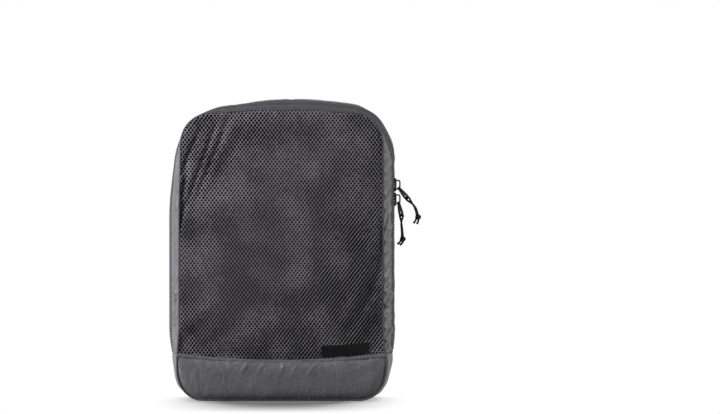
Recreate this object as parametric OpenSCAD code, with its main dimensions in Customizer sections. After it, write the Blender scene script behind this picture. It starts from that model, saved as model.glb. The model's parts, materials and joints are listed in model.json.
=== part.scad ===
// Soft-sided packing cube that stands on its base: a grey nylon tub with a mesh
// front flap, closed by a two-slider coil zip that runs up one side, over the
// crown and down the other side.
//
// Frame: origin at the middle of the base, +Z up, the mesh front faces -Y and
// the two sliders are on the +X side. All lengths are millimetres.

/* [Bag] */
// Width across the bulged sides
body_w = 240; // [216:4:280]
// Height from the base to the top of the crown
body_h = 320; // [290:5:380]
// Depth from the front seam to the back seam
body_d = 78; // [72:2:96]
// Radius of the two upper corners
top_corner_r = 60; // [52:1:68]
// Radius of the two lower corners
base_corner_r = 28; // [22:1:34]
// Rise of the arched top above its shoulders
crown_rise = 16; // [12:1:22]
// How far the sides draw in towards the base
base_taper = 9; // [3:0.5:12]
// Height from which the sides stand at their full width
taper_to = 78; // [60:2:100]

/* [Fullness] */
// How far the front and back seams lie inside the bulged sides, high up
face_inset = 11; // [7:0.5:14]
// Share of that inset which the faces' upper corners lose
corner_spread = 0.68; // [0:0.02:0.8]
// How far the seams lie inside the sides at the base
base_inset = 2; // [1:0.5:4]
// Height at which the seams start to draw in from the sides
waist_from = 26; // [18:1:32]
// Height from which they are drawn in fully
waist_to = 80; // [70:2:110]
// Width of the straight stretch in the middle of the sides, front to back
flat_w = 24; // [16:1:30]
// How far the stuffed mesh panel bulges forwards
mesh_bulge = 7; // [2:0.5:12]
// How far the band below it bulges forwards
band_bulge = 1.5; // [0.5:0.5:3]
// How far the back panel bulges backwards
back_bulge = 4; // [1:0.5:8]

/* [Cloth] */
// Thickness of the coated nylon with its turned edges
nylon_t = 1.2; // [0.8:0.1:2]
// Thickness of the knitted mesh
mesh_t = 1; // [0.6:0.1:1.6]
// Openings across the mesh, each of which stands for several knitted holes
mesh_columns = 10; // [6:1:12]
// Share of the spacing that an opening takes, across and up
opening_share = 0.51; // [0.35:0.01:0.6]
// Radius of the piping round the front and back seams
piping_r = 1; // [0.7:0.1:1.4]

/* [Band] */
// Height of the seam between band and mesh at the sides, and of the zip ends
seam_h = 50; // [42:1:60]
// How far that seam dips in the middle
seam_dip = 7; // [2:0.5:10]

/* [Zip] */
// Width of each zip tape
tape_w = 12; // [9:0.5:14]
// Thickness of the zip tape
tape_t = 1; // [0.7:0.1:1.3]
// Width of the grey gusset between mesh and zip on the lower sides
wedge_w = 15; // [10:0.5:18]
// Free slot between the two rows of teeth
slot_w = 1; // [0.8:0.1:1.4]
// Width of one row of teeth
teeth_w = 2.2; // [1.6:0.1:2.8]
// Height of the teeth
teeth_t = 1.4; // [1:0.1:1.8]
// Spacing of the teeth
teeth_pitch = 4; // [3.6:0.2:6]

/* [Sliders] */
// Height of the line where the two sliders meet
meet_h = 221.5; // [190:0.5:228]
// Length of one slider
slider_l = 14.5; // [13:0.5:15.5]
// Width of one slider
slider_w = 8; // [7:0.5:9.5]
// Thickness of the slider's plates
plate_t = 1.5; // [1.1:0.1:1.8]
// Height of the bridge over the slider's plate
bridge_h = 4.6; // [4.2:0.1:5.4]
// Width of the bridge
bridge_w = 2.6; // [2:0.1:3]
// Diameter of the two round bars of a pull loop
wire_d = 1.4; // [1.1:0.1:1.6]
// Width inside a pull loop
loop_w = 4; // [3.6:0.1:5]
// Thickness of the two rails of a pull loop
rail_t = 2.8; // [2:0.1:3.2]
// Length of a pull loop between the middles of its two bars
loop_l = 15; // [13:0.5:16]
// Angle of the upper pull loop away from the side
upper_tilt = 40; // [34:1:44]
// Angle of the lower pull loop away from the side
lower_tilt = 12; // [9:1:16]

/* [Pull cords] */
// Diameter of the pull cords
cord_d = 1.9; // [1.6:0.1:2]
// Radius of the tied knots
knot_r = 2.6; // [2.2:0.1:3]

/* [Label] */
// Width of the woven label
label_w = 50; // [30:1:70]
// Height of the woven label
label_h = 12; // [8:0.5:16]
// Thickness of the woven label
label_t = 0.7; // [0.4:0.1:1]

/* [Hidden] */

nylon = [0.42, 0.41, 0.43];
dark = [0.20, 0.20, 0.21];
black = [0.08, 0.08, 0.09];
metal = [0.13, 0.13, 0.14];

run_gap = 0.3;              // free space between pieces of different bodies
half_w = body_w / 2;
rim_y = body_d / 2;
flat_y = flat_w / 2;
fine_step = teeth_pitch / 2;
taper_from = 8;             // height up to which the sides are drawn in fully
cloth_step = 26;            // spacing of the sections along straight cloth
corner_n = 7;               // sections round an upper corner
base_n = 5;                 // sections round a lower corner
welt = 3;                   // flat border of a panel, under the piping

// Circle centres of the outline: the arched top and the upper corners
crown_r = (half_w * half_w + crown_rise * crown_rise) / (2 * crown_rise);
crown_z = body_h - crown_r;
corner_x = half_w - top_corner_r;
corner_z = crown_z + sqrt(pow(crown_r - top_corner_r, 2) - pow(corner_x, 2));
corner_turn = atan2(corner_z - crown_z, corner_x);

// The zip line: straight up the sides, then forwards to the mesh at the crown
side_zip_y = -rim_y + wedge_w + tape_w + slot_w / 2;
top_zip_y = side_zip_y - wedge_w;
lean_from = meet_h + slider_l + 16;
lean_to = lean_from + 41;

// ---------------------------------------------------------------- outline
// A station is [x, z, nx, nz]: a point of the widest outline and its normal.

function taper(z) = base_taper * (1 - smooth((z - taper_from) / (taper_to - taper_from)));
function side(z) = [half_w - taper(z), z, 1, 0];
function top_corner(a) = [
    corner_x + top_corner_r * cos(a), corner_z + top_corner_r * sin(a), cos(a), sin(a)];
function crown(a) = [crown_r * cos(a), crown_z + crown_r * sin(a), cos(a), sin(a)];
function base_corner(a) = let (z = base_corner_r * (1 + sin(a))) [
    half_w - taper(z) - base_corner_r * (1 - cos(a)), z, cos(a), sin(a)];
function mirrored(path) = [
    for (i = [len(path) - 1:-1:0]) [-path[i][0], path[i][1], -path[i][2], path[i][3]]];

function count(length, step) = max(1, round(length / step));
function straight_up(from, step) = let (n = count(corner_z - from, step)) [
    for (i = [0:n - 1]) side(from + (corner_z - from) * i / n)];
function round_corner(n) = [for (i = [0:n - 1]) top_corner(corner_turn * i / n)];
function half_crown(n) = [
    for (i = [0:n - 1]) crown(corner_turn + (90 - corner_turn) * i / n)];

// From the right zip end up, over the crown and down to the left zip end
function upper_path(from, step, turns) = let (
    half = concat(
        straight_up(from, step), round_corner(turns),
        half_crown(count((90 - corner_turn) * PI / 180 * crown_r, step))))
    concat(half, [crown(90)], mirrored(half));

// From the left seam end down, along the base and up to the right seam end
function lower_path(upto) = let (
    half = concat(
        [for (i = [0:base_n]) base_corner(-90 + 90 * i / base_n)],
        [side((base_corner_r + upto) / 2), side(upto)]))
    concat(mirrored(half), [[0, 0, 0, -1]], half);

cloth_path = upper_path(seam_h, cloth_step, corner_n);
flap_path = upper_path(seam_h + run_gap, cloth_step, corner_n);
base_path = lower_path(seam_h);

// ---------------------------------------------------------------- surface
function smooth(t) = let (u = min(1, max(0, t))) u * u * (3 - 2 * u);
function rim_inset(z) =
    base_inset + (face_inset - base_inset) * smooth((z - waist_from) / (waist_to - waist_from));
function depth_share(y) = pow(max(0, abs(y) - flat_y) / (rim_y - flat_y), 1.6);

// The faces are cut fuller at their upper corners, so the side cloth draws in less there
function corner_draw(s) = 1 - corner_spread * pow(2 * s[2] * max(0, s[3]), 2);

// A point of the side cloth at depth y, t below its outer face
function on_side(s, y, t = 0) = let (
    inset = rim_inset(s[1]) * corner_draw(s) * depth_share(y)) [
    s[0] - (inset + t) * s[2], y, s[1] - inset * max(0, s[3]) - t * s[3]];

function zip_y(z) =
    side_zip_y + (top_zip_y - side_zip_y) * smooth((z - lean_from) / (lean_to - lean_from));
function seam_z(x) = seam_h - seam_dip * (1 - pow(x / (half_w - face_inset), 2));

// Skins a list of closed sections, each with the same number of points
module skin(sections, ring = false) {
    n = len(sections[0]);
    m = len(sections);
    sides = [
        for (i = [0:ring ? m - 1 : m - 2]) for (j = [0:n - 1])
            let (a = i * n + j, b = i * n + (j + 1) % n)
            let (c = (i + 1) % m * n + (j + 1) % n, d = (i + 1) % m * n + j)
            each [[a, b, c], [a, c, d]]];
    ends = ring ? [] : [
        [for (j = [n - 1:-1:0]) j], [for (j = [0:n - 1]) (m - 1) * n + j]];
    polyhedron([for (s = sections) each s], concat(sides, ends), convexity = 6);
}

// A strip of cloth along a path. rows gives its depths at a station
module strip(path, rows, t, under = 0) {
    skin([for (s = path) let (ys = rows(s)) concat(
        [for (i = [len(ys) - 1:-1:0]) on_side(s, ys[i], under)],
        [for (y = ys) on_side(s, y, under + t)])]);
}

function between(a, b, n) = [for (i = [0:n]) a + (b - a) * i / n];

// ---------------------------------------------------------------- panels
// The edge of the front or back face at a station
function face_edge(s) = let (p = on_side(s, rim_y)) [p[0], p[2]];
seam_points = 9;
function seam_edge(lift) = [
    for (i = [1:seam_points - 1])
        let (x = (half_w - face_inset) * (2 * i / seam_points - 1)) [x, seam_z(x) + lift]];
function backwards(list) = [for (i = [len(list) - 1:-1:0]) list[i]];

back_edge = concat(
    [for (s = cloth_path) face_edge(s)],
    [for (i = [1:len(base_path) - 2]) face_edge(base_path[i])]);
mesh_edge = concat([for (s = flap_path) face_edge(s)], seam_edge(run_gap));
band_edge = concat([for (s = base_path) face_edge(s)], backwards(seam_edge(0)));

// A crowned panel: rings of its edge drawn in towards its middle. It lies
// between the rim and the open side, dir = -1 for the front, 1 for the back
module panel(edge, middle, border, bulge, t, dir) {
    shares = concat([1, border], [for (f = [0.8, 0.6, 0.38, 0.16]) f * border]);
    heights = [for (r = shares) r >= border ? 0 : bulge * (1 - pow(r / border, 2))];
    function ring(i, lift) = [
        for (p = edge) let (q = middle + shares[i] * (p - middle))
            [q[0], dir * (rim_y + heights[i] + lift), q[1]]];
    n = len(shares) - 1;
    sections = concat([for (i = [n:-1:0]) ring(i, t)], [for (i = [0:n]) ring(i, 0)]);
    skin(dir < 0 ? sections : backwards(sections));
}

welt_share = 1 - welt / half_w;
mesh_middle = [0, (seam_h + body_h) / 2];

module back_panel() {
    color(nylon) panel(back_edge, [0, body_h / 2], welt_share, back_bulge, nylon_t, 1);
}

module mesh_panel() {
    color(dark) difference() {
        panel(mesh_edge, mesh_middle, welt_share, mesh_bulge, mesh_t, -1);
        mesh_openings();
    }
}

// A plain grid of openings for the far finer holes of the knit
module mesh_openings() {
    spacing = 2 * (half_w - face_inset - 6) / mesh_columns;
    size = spacing * opening_share;
    clear = face_inset + 5 + size / 2;
    for (i = [0:mesh_columns - 1], j = [0:ceil(body_h / spacing)]) let (
        x = (i - (mesh_columns - 1) / 2) * spacing,
        z = seam_h + 4 + size / 2 + j * spacing)
        if (norm([x, z - crown_z]) < crown_r - clear
            && norm([max(0, abs(x) - corner_x), max(0, z - corner_z)]) < top_corner_r - clear)
            translate([x - size / 2, -rim_y - mesh_bulge - 2 * mesh_t, z - size / 2])
                cube([size, mesh_bulge + 3 * mesh_t, size]);
}

module front_band() {
    middle = [0, (seam_h - seam_dip) / 2];
    color(nylon)
        panel(band_edge, middle, 1 - welt / (seam_h / 2), band_bulge, nylon_t, -1);
}

// ---------------------------------------------------------------- gussets
module back_gusset() {
    rows = function (s) between(zip_y(s[1]) + slot_w / 2 + tape_w, rim_y, 4);
    color(nylon) strip(cloth_path, rows, nylon_t);
}

module bottom_gusset() {
    rows = function (s) concat(between(-rim_y, -flat_y, 3), between(flat_y, rim_y, 3));
    color(nylon) strip(base_path, rows, nylon_t);
}

// The grey wedge between mesh and zip, which narrows to a point at the corner
module front_gusset() {
    front_edge = function (z) zip_y(z) - slot_w / 2 - tape_w;
    path = [
        for (s = flap_path) if (s[0] > 0 && front_edge(s[1]) > 1 - rim_y) s];
    rows = function (s) between(-rim_y, front_edge(s[1]), 2);
    strip(path, rows, nylon_t);
}

module front_gusset_right() { color(nylon) front_gusset(); }
module front_gusset_left() { color(nylon) mirror([1, 0, 0]) front_gusset(); }

// ---------------------------------------------------------------- zip
// side is -1 for the flap's half of the zip and 1 for the tub's half
module zip_tape(path, side) {
    rows = function (s) let (
        inner = zip_y(s[1]) + side * slot_w / 2,
        outer = inner + side * tape_w)
        between(min(inner, outer), max(inner, outer), tape_parts(side));
    color(dark) strip(path, rows, tape_t);
}

// The flap's tape follows the rounder part of the side, so it has two facets
function tape_parts(side) = side < 0 ? 2 : 1;

// The two edges, just under the tape, between which its teeth are sewn
function seat(s, side) = let (
    inner = zip_y(s[1]) + side * slot_w / 2,
    next = inner + side * tape_w / tape_parts(side),
    under = tape_t + 0.02)
    [on_side(s, min(inner, next), under), on_side(s, max(inner, next), under)];

// A point of the tape's underside, a share along from seat p to q and w across
function on_seat(p, q, along, w) = w > along
    ? p[0] + w * (p[1] - p[0]) + along * (q[1] - p[1])
    : p[0] + along * (q[0] - p[0]) + w * (q[1] - q[0]);

// A row of teeth sewn under the tape: high and low sections take turns
module zip_teeth(path, side) {
    span = teeth_w * tape_parts(side) / tape_w;
    ws = side < 0 ? [1 - span, 1] : [0, span];
    marks = [
        for (i = [0:len(path) - 2])
            let (n = count(norm(path[i + 1] - path[i]), fine_step))
            for (k = [0:n - (i < len(path) - 2 ? 1 : 0)]) [i, k / n]];
    color(black) skin([for (m = [0:len(marks) - 1]) let (
        s = path[marks[m][0]],
        e = path[marks[m][0] + 1],
        along = marks[m][1],
        top = [for (w = ws) on_seat(seat(s, side), seat(e, side), along, w)],
        n = s + along * (e - s),
        deep = teeth_t * (m % 2 == 0 ? 1 : 0.45) * [n[2], 0, n[3]])
        [top[1], top[0], top[0] - deep, top[1] - deep]]);
}

module back_zip_tape() { zip_tape(cloth_path, 1); }
module front_zip_tape() { zip_tape(flap_path, -1); }
module back_zip_teeth() { zip_teeth(cloth_path, 1); }
module front_zip_teeth() { zip_teeth(flap_path, -1); }

// ---------------------------------------------------------------- piping
piping_sides = 6;

// Round piping along the edge of a face, dir = -1 for the front
module piping(path, t, dir, ring = false) {
    function section(s) = let (edge = on_side(s, rim_y)) [
        for (k = [0:piping_sides - 1]) let (
            a = dir * 360 * k / piping_sides,
            inward = piping_r * (1 + cos(a)),
            y = dir * (rim_y + t + piping_r * (1 + sin(a))))
            [edge[0] - inward * s[2], y, edge[2] - inward * s[3]]];
    color(dark) skin([for (s = path) section(s)], ring);
}

module back_piping() {
    loop = concat(cloth_path, [for (i = [1:len(base_path) - 2]) base_path[i]]);
    piping(loop, nylon_t, 1, true);
}
module band_piping() { piping(base_path, nylon_t, -1); }
module front_piping() { piping(flap_path, mesh_t, -1); }

// ---------------------------------------------------------------- label
label_x = half_w - face_inset - 16 - label_w / 2;
label_lift = 2.5;           // above the seam, clear of its fold

// How far the mesh stands out from the rim at a place low on the panel
function mesh_rise(x, z) = let (
    share = (mesh_middle[1] - z) / (mesh_middle[1] - seam_z(x)))
    mesh_bulge * (1 - pow(min(1, share / welt_share), 2));

// The woven label lies on the mesh, just above the seam and along it
module label_patch() {
    function front(x, z) = -rim_y - mesh_t - mesh_rise(x, z) - run_gap;
    xs = between(label_x - label_w / 2, label_x + label_w / 2, 5);
    color(black) skin([for (x = xs) let (
        low = seam_z(x) + label_lift,
        high = low + label_h,
        y0 = front(x, low),
        y1 = front(x, high))
        [[x, y0, low], [x, y0 - label_t, low], [x, y1 - label_t, high], [x, y1, high]]]);
}

// ---------------------------------------------------------------- sliders
// A slider is drawn lying along the side: up = 1 points its nose down
plate_x = half_w + run_gap;                    // underside of the outer plate
inner_x = half_w - tape_t - teeth_t - 2 * run_gap;  // top of the inner plate
bridge_wall = 0.7;
bridge_leg = 1.3;
bridge_l = slider_l - 3.5;
pivot_x = plate_x + plate_t + bridge_h - bridge_wall - run_gap - wire_d / 2;
neck_t = slot_w - 2 * 0.2;

module plate(x, t) {
    r = slider_w / 4;
    translate([x, 0, 0]) rotate([90, 0, 90]) linear_extrude(t) {
        square([slider_w, slider_l - 2 * r], center = true);
        square([slider_w - 2 * r, slider_l], center = true);
        for (a = [-1, 1], b = [-1, 1])
            translate([a * (slider_w / 2 - r), b * (slider_l / 2 - r)])
                circle(r, $fn = 24);
    }
}

// The bridge is an arch along the slider; the pull loop's bar runs under it
module bridge() {
    span = bridge_l;
    rotate([90, 0, 0]) translate([0, 0, -bridge_w / 2]) linear_extrude(bridge_w)
        difference() {
            arch(plate_x + plate_t - 0.5, span, bridge_h + 0.5, 2.2);
            arch(plate_x + plate_t - 1, span - 2 * bridge_leg, bridge_h - bridge_wall + 1,
                wire_d / 2 + run_gap);
        }
}

module arch(x, span, h, r) {
    translate([x, -span / 2]) square([h - r, span]);
    translate([x, -span / 2 + r]) square([h, span - 2 * r]);
    for (s = [-1, 1]) translate([x + h - r, s * (span / 2 - r)]) circle(r, $fn = 32);
}

module slider(mid_h, up) {
    nose = -up * (slider_l / 2 - 1.5);
    color(metal) translate([0, side_zip_y, mid_h]) {
        plate(plate_x, plate_t);
        plate(inner_x - plate_t, plate_t);
        bridge();
        translate([inner_x - 0.5, -neck_t / 2, nose - 1.5])
            cube([plate_x - inner_x + 1, neck_t, 3]);
    }
}

upper_mid = meet_h + 0.5 + slider_l / 2;
lower_mid = meet_h - 0.5 - slider_l / 2;
pivot_drop = bridge_l / 2 - bridge_leg - run_gap - wire_d / 2;
upper_pivot = [pivot_x, side_zip_y, upper_mid - pivot_drop];
lower_pivot = [pivot_x, side_zip_y, lower_mid - pivot_drop];

module upper_slider() { slider(upper_mid, 1); }
module lower_slider() { slider(lower_mid, -1); }

// A pull loop hangs from its top bar, tilted outwards: two bars and two rails
module pull_loop(pivot, tilt) {
    half = (loop_w + wire_d) / 2;
    color(metal) translate(pivot) rotate([0, -tilt, 0]) {
        for (z = [0, -loop_l])
            translate([0, 0, z]) rotate([90, 0, 0])
                cylinder(d = wire_d, h = 2 * half, center = true, $fn = 24);
        for (y = [-half, half]) translate([0, y, 0]) rail();
    }
}

// One rail of a pull loop: slim at the bars and thick between them
module rail() {
    thin = wire_d / 2;
    half = rail_t / 2;
    rotate([90, 0, 0]) linear_extrude(wire_d, center = true) polygon([
        [-thin, thin], [-thin, -1.5], [-half, -3.5], [-half, 2 - loop_l],
        [-thin, -thin - loop_l], [thin, -thin - loop_l], [half, 2 - loop_l],
        [half, -3.5], [thin, -1.5], [thin, thin]]);
}

module upper_pull_loop() { pull_loop(upper_pivot, upper_tilt); }
module lower_pull_loop() { pull_loop(lower_pivot, lower_tilt); }

// ---------------------------------------------------------------- pull cords
// Each cord is one length, folded round the bottom bar of its loop and knotted.
// A route runs from one tail's end to the other, measured from that bar.
upper_route = [
    [9.9, -3.4, -27.3], [11.2, -3.4, -23.9], [11.5, -3.4, -20.2], [10.3, -1.8, -15.9],
    [8.7, -0.95, -11.1], [6.1, -0.3, -7.5], [3.1, 0, -5.2], [0.5, 0, -3.4],
    [-1.35, 0, -1.2], [-1.8, 0, 0.1], [-1.2, 0, 1.35], [0.1, 0, 1.8], [1.4, 0, 1.2],
    [3.2, -0.3, -1], [4.7, -1.1, -3.6], [6.7, -2.1, -6.9], [8.5, -2.9, -11.1],
    [9.6, -3.6, -15.9], [9.6, -3.5, -20.2], [8.6, -3.8, -23.6], [6.6, -4.2, -26.6],
];
lower_route = [
    [-1.6, 4.2, -31.1], [1, 3.9, -28.6], [1.8, 3.6, -25], [1.2, 3.7, -19.8],
    [0.6, 2.95, -14.5], [-0.3, 2.1, -9.5], [-1, 0.9, -4.8], [-1.6, 0.2, -1.8],
    [-1.8, 0, -0.2], [-1.4, 0, 1.1], [-0.3, 0, 1.78], [1, 0, 1.5], [1.75, 0, 0.3],
    [1.7, 0, -1.8], [1.2, -0.1, -4.8], [0.35, 0.2, -9.5], [0.5, 1.05, -14.5],
    [0.5, 1.9, -19.8], [-0.1, 3.5, -25], [-1.7, 4.3, -28.2], [-4.2, 4.6, -30.3],
];
upper_knot = [10.6, -3.4, -20.2];
lower_knot = [0.9, 3.6, -25];
cord_sides = 8;

function bar(pivot, tilt) = pivot + loop_l * [sin(tilt), 0, -cos(tilt)];
upper_bar = bar(upper_pivot, upper_tilt);
lower_bar = bar(lower_pivot, lower_tilt);

function unit(v) = v / norm(v);
function heading(route, i) =
    unit(route[min(i + 1, len(route) - 1)] - route[max(i - 1, 0)]);

module cord(route) {
    skin([for (i = [0:len(route) - 1]) let (
        along = heading(route, i),
        u = unit(cross(along, [0, 1, 0])),
        v = cross(u, along))
        [for (k = [0:cord_sides - 1]) let (a = 360 * k / cord_sides)
            route[i] + cord_d / 2 * (cos(a) * u + sin(a) * v)]]);
}

// A tied knot: three turns of cord drawn tight round a core
module knot() {
    turn_r = knot_r - cord_d / 2;
    cylinder(r = turn_r + 0.3, h = 2.6 * cord_d, center = true, $fn = 24);
    for (k = [-1:1])
        translate([0, 0, k * cord_d * 0.85])
            rotate_extrude($fn = 24) translate([turn_r, 0]) circle(d = cord_d, $fn = 16);
}

module upper_pull_cord() { color(black) translate(upper_bar) cord(upper_route); }
module lower_pull_cord() { color(black) translate(lower_bar) cord(lower_route); }
module upper_cord_knot() { color(black) translate(upper_bar + upper_knot) knot(); }
module lower_cord_knot() { color(black) translate(lower_bar + lower_knot) knot(); }

back_panel();
back_gusset();
bottom_gusset();
front_band();
back_zip_tape();
back_zip_teeth();
back_piping();
band_piping();
mesh_panel();
front_gusset_left();
front_gusset_right();
front_zip_tape();
front_zip_teeth();
front_piping();
label_patch();
upper_slider();
upper_pull_loop();
upper_pull_cord();
upper_cord_knot();
lower_slider();
lower_pull_loop();
lower_pull_cord();
lower_cord_knot();
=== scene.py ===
"""Packing cube that stands on its base: grey nylon tub, mesh front flap, two-slider zip.

The frame gives the places. The cloth is lofted from the same outline as the frame's
solids, filled out by a cloth simulation, then sewn: piping, hems, stitches and label.
"""
import json
import math

import bmesh
import bpy
import numpy as np
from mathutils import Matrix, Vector, noise
from mathutils.bvhtree import BVHTree


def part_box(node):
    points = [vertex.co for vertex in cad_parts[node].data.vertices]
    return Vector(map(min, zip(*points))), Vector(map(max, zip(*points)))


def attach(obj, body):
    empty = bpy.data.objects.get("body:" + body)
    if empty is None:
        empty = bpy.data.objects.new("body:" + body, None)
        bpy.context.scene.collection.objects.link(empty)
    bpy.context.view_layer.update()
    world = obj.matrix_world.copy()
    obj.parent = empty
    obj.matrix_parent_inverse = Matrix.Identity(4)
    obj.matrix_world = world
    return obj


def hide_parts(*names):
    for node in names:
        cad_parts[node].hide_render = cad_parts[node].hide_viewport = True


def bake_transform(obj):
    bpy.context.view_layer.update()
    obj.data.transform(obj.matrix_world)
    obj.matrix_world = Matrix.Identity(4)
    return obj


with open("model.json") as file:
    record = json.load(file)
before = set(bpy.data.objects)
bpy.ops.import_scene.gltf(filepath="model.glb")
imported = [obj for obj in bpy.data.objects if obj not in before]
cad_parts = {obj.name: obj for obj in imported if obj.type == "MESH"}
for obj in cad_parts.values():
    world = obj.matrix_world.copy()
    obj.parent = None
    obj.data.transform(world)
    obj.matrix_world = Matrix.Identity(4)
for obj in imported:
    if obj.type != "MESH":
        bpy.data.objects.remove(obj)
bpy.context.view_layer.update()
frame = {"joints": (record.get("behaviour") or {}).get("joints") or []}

MM = 0.001

# ------------------------------------------------------------------ sizes
HALF_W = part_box("back_gusset")[1].x
BODY_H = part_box("back_gusset")[1].z
RIM_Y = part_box("bottom_gusset")[1].y  # depth of the front and back seams
SEAM_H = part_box("bottom_gusset")[1].z  # height of the band's seam at the sides
ZIP_Y = (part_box("lower_slider")[0].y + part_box("lower_slider")[1].y) / 2
SEAM_DIP = 7 * MM  # the band's seam is this much lower in its middle
TOP_R = 60 * MM
BASE_R = 28 * MM
CROWN_RISE = 16 * MM
BASE_TAPER = 9 * MM  # how far each side draws in at the base
TAPER = (8 * MM, 78 * MM)  # between these heights
FLAT_Y = 12 * MM  # the side cloth is level to this depth, front and back
FACE_INSET = 11 * MM  # how far it draws in at the seams
CORNER_SPREAD = 0.68  # the share of that which the shoulders leave out
BASE_INSET = 2 * MM  # how far it draws in near the base
WAIST = (26 * MM, 80 * MM)  # heights between which the one becomes the other
WEDGE_W = 15 * MM  # how far the zip comes forward at the shoulders
LEAN = (252 * MM, 293 * MM)  # between these heights
TAPE_W = 12 * MM
SLOT_W = 1 * MM
MESH_BULGE = 7 * MM
BACK_BULGE = 4 * MM
BAND_BULGE = 4.6 * MM
CORD_D = 1.9 * MM
JOINTS = {joint["name"]: joint for joint in frame["joints"]}
FOLD_Z = JOINTS["flap_fold"]["pos_m"][2]

CROWN_R = (HALF_W ** 2 + CROWN_RISE ** 2) / (2 * CROWN_RISE)
CROWN_Z = BODY_H - CROWN_R
CORNER_X = HALF_W - TOP_R
CORNER_Z = CROWN_Z + math.sqrt((CROWN_R - TOP_R) ** 2 - CORNER_X ** 2)
CORNER_TURN = math.atan2(CORNER_Z - CROWN_Z, CORNER_X)


# ------------------------------------------------------------------ the camera
def make_camera():
    """A long lens, level and square to the mesh front, a little to the cube's right."""
    distance, height, aside, view_w = 3.2, 0.2055, 0.0835, 0.7627
    data = bpy.data.cameras.new("camera")
    data.sensor_width = 36
    data.lens = data.sensor_width * distance / view_w
    cam = bpy.data.objects.new("camera", data)
    cam.location = (aside, -RIM_Y - distance, height)
    cam.rotation_euler = (math.radians(90), 0, 0)
    bpy.context.scene.collection.objects.link(cam)
    bpy.context.scene.camera = cam


# ------------------------------------------------------------------ materials
def new_material(name, colour, roughness, **sockets):
    """A material with its Principled shader's plain values set on its own sockets. In a
    socket's name _ stands for a space."""
    mat = bpy.data.materials.new(name)
    mat.use_nodes = True
    bsdf = mat.node_tree.nodes["Principled BSDF"]
    bsdf.inputs["Base Color"].default_value = (*colour, 1)
    bsdf.inputs["Roughness"].default_value = roughness
    for key, value in sockets.items():
        bsdf.inputs[key.replace("_", " ")].default_value = value
    return mat


def add_node(mat, kind, **values):
    """A node with its sockets and settings. In a socket's name _ stands for a space."""
    node = mat.node_tree.nodes.new(kind)
    for key, value in values.items():
        socket = key.replace("_", " ")
        if socket in node.inputs:
            node.inputs[socket].default_value = value
        else:
            setattr(node, key, value)
    return node


def join(mat, source, target):
    mat.node_tree.links.new(source, target)


def uv_place(mat):
    return add_node(mat, "ShaderNodeUVMap", uv_map="cloth").outputs["UV"]


def object_place(mat):
    return add_node(mat, "ShaderNodeTexCoord").outputs["Object"]


def noise_of(mat, place, scale, detail, rough=0.55):
    node = add_node(mat, "ShaderNodeTexNoise", Scale=scale, Detail=detail, Roughness=rough)
    join(mat, place, node.inputs["Vector"])
    return node.outputs["Fac"]


def ramp(mat, source, low, high, start=0.35, end=0.65):
    """A colour that runs from low to high as the source goes from start to end."""
    node = add_node(mat, "ShaderNodeValToRGB")
    node.color_ramp.elements[0].position = start
    node.color_ramp.elements[0].color = (*low, 1)
    node.color_ramp.elements[1].position = end
    node.color_ramp.elements[1].color = (*high, 1)
    join(mat, source, node.inputs["Fac"])
    return node.outputs["Color"]


def mapped(mat, source, **ends):
    node = add_node(mat, "ShaderNodeMapRange", **ends)
    join(mat, source, node.inputs["Value"])
    return node.outputs["Result"]


def math_of(mat, operation, a, b):
    node = add_node(mat, "ShaderNodeMath", operation=operation)
    for socket, value in zip(node.inputs, (a, b)):
        if isinstance(value, (int, float)):
            socket.default_value = value
        else:
            join(mat, value, socket)
    return node.outputs[0]


def bump(mat, height, distance, strength, under=None):
    """Relief of the given height in metres, laid over the relief under it."""
    node = add_node(mat, "ShaderNodeBump", Strength=strength, Distance=distance)
    join(mat, height, node.inputs["Height"])
    if under is not None:
        join(mat, under, node.inputs["Normal"])
    return node.outputs["Normal"]


def weave_of(mat, place, pitch):
    """Plain weave: two sets of bands, at right angles, laid over each other."""
    waves = []
    for axis in ("X", "Y"):
        node = add_node(mat, "ShaderNodeTexWave", bands_direction=axis, Scale=0.314 / pitch)
        join(mat, place, node.inputs["Vector"])
        waves.append(node.outputs["Fac"])
    return math_of(mat, "MULTIPLY", *waves)


def shader(mat):
    return mat.node_tree.nodes["Principled BSDF"].inputs


def tinted(colour, factor):
    return tuple(c * factor for c in colour)


def mixed_noise(mat, place, coarse, fine):
    """Two noises added up. Each is given by its scale, detail and share."""
    parts = [math_of(mat, "MULTIPLY", noise_of(mat, place, scale, detail), share)
             for scale, detail, share in (coarse, fine)]
    return math_of(mat, "ADD", *parts)


def creases_of(mat, place, turn, size):
    """Thin long creases, as coated nylon keeps when it has been packed."""
    spun = add_node(mat, "ShaderNodeMapping", Rotation=(0, 0, turn), Scale=(1, 0.3, 1))
    join(mat, place, spun.inputs["Vector"])
    swell = noise_of(mat, spun.outputs["Vector"], 1 / size, 2, 0.5)
    away = math_of(mat, "ABSOLUTE", math_of(mat, "SUBTRACT", swell, 0.5), 0)
    return mapped(mat, away, interpolation_type="SMOOTHSTEP", From_Max=0.075, To_Min=1.0,
                  To_Max=0.0)


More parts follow.
